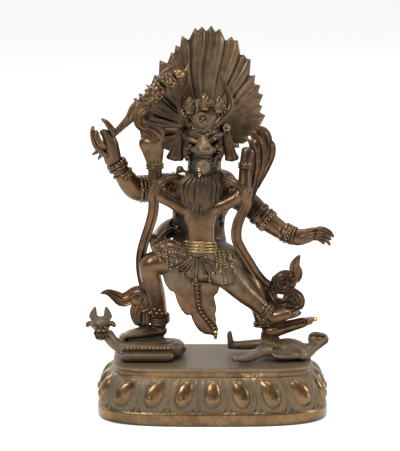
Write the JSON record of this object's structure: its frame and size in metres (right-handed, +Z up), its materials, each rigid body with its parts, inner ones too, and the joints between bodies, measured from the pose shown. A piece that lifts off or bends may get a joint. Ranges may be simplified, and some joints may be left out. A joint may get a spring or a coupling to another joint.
{
  "type": "bronze figure",
  "caption": "Cast bronze group of a horned, bull-headed guardian striding with a consort over a beast and a lying man, on a lotus plinth",
  "frame": {"origin": "The middle of the plinth's flat underside, at the centre of its outline.", "axes": "+Z up along the figure, -Y towards the front that the figure faces, +X to the viewer's right seen from the front."},
  "size_m": [0.1573, 0.075, 0.244],
  "materials": {
    "plinth_bronze": "cast bronze, golden brown patina with dull green dust in the hollows and brighter rubbed petals",
    "figure_bronze": "cast bronze, dark brown patina, rubbed to warm gold on the raised edges, grey-green in the hollows"
  },
  "bodies": {
    "root": {"plinth": "plinth_bronze", "figure_group": "figure_bronze"}
  },
  "joints": []
}
